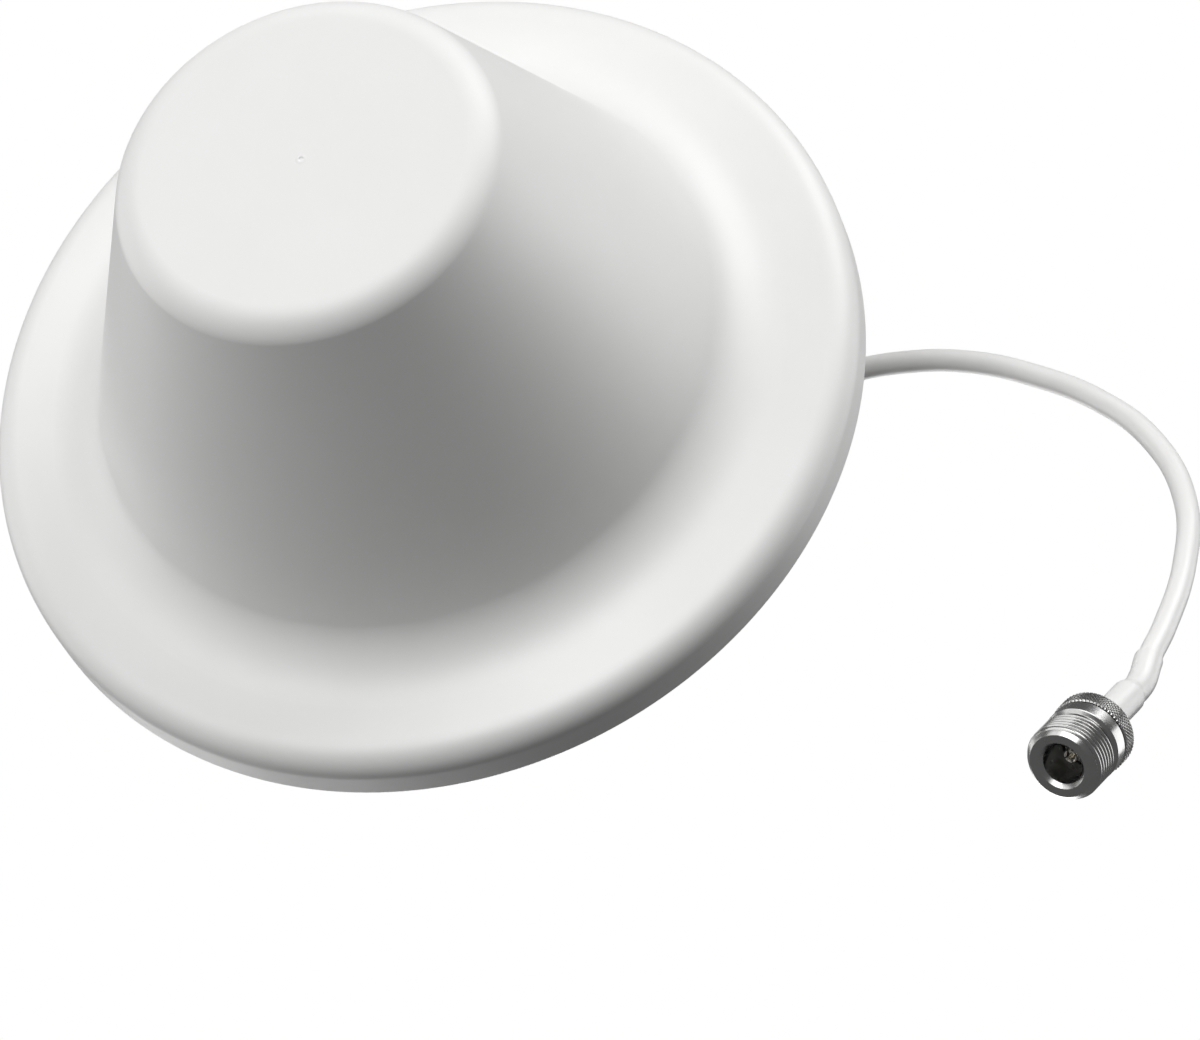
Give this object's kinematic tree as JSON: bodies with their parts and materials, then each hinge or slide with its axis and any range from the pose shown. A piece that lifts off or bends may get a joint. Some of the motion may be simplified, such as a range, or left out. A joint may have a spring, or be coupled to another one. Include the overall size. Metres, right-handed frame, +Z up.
{
  "type": "ceiling dome antenna",
  "caption": "White hat-shaped ceiling dome antenna with a hollow threaded stud, clamp nut and a short coax pigtail ending in an N-type socket.",
  "frame": {"origin": "centre of the mounting plane, where the rim meets the ceiling, on the threaded stud's axis", "axes": "+Z up along the threaded stud into the ceiling, so the dome hangs towards -Z; the pigtail leaves over the rim towards -X and comes forward to -Y"},
  "size_m": [0.2251, 0.2503, 0.1703],
  "materials": {
    "white_abs": "fine satin moulded ABS",
    "back_abs": "satin moulded ABS",
    "stud_abs": "satin moulded thread",
    "nut_abs": "satin moulded ABS",
    "grommet_rubber": "matt soft PVC",
    "ground_aluminium": "rolled sheet",
    "tinned_brass": "tin-plated brass sheet",
    "ptfe": "turned PTFE",
    "copper": "drawn copper wire",
    "coax_jacket": "extruded white PVC",
    "heat_shrink": "white polyolefin heat-shrink",
    "nickel": "bright nickel plate on turned brass",
    "contact_plate": "plated contact",
    "screw_zinc": "bright zinc plate",
    "nylon": "natural nylon"
  },
  "bodies": {
    "antenna": {"radome": "white_abs", "back_plate": "back_abs", "threaded_stud": "stud_abs", "cable_grommet": "grommet_rubber", "ground_plane": "ground_aluminium", "radiator_cone": "tinned_brass", "radiator_sleeve": "tinned_brass", "feed_bush": "tinned_brass", "feed_insulator": "ptfe", "feed_pin": "copper", "coax_lead_in_stud": "coax_jacket", "coax_pigtail": "coax_jacket", "heat_shrink_sleeve": "heat_shrink", "crimp_ferrule": "nickel", "socket_knurled_ring": "nickel", "socket_body": "nickel", "socket_insulator": "ptfe", "socket_contact": "contact_plate", "plate_screw_1": "screw_zinc", "ground_screw_1": "screw_zinc", "plate_screw_2": "screw_zinc", "ground_screw_2": "screw_zinc", "plate_screw_3": "screw_zinc", "ground_screw_3": "screw_zinc", "plate_screw_4": "screw_zinc", "ground_screw_4": "screw_zinc", "shorting_strip_1": "tinned_brass", "shorting_strip_2": "tinned_brass", "shorting_strip_3": "tinned_brass", "support_post_1": "nylon", "support_post_2": "nylon", "support_post_3": "nylon"},
    "washer": {"clamp_washer": "nut_abs"},
    "nut": {"clamp_nut": "nut_abs"}
  },
  "joints": [
    {"name": "washer_slide", "type": "slide", "parent": "antenna", "child": "washer", "axis": [0, 0, 1], "range_m": [0, 0.0225]},
    {"name": "nut_turn", "type": "hinge", "parent": "washer", "child": "nut", "pos_m": [0, 0, 0], "axis": [0, 0, 1], "range_deg": [0, 3240]}
  ],
  "couplings": [
    {"joint": "washer_slide", "follows": "nut_turn", "m_per_rad": 0.00039789}
  ]
}
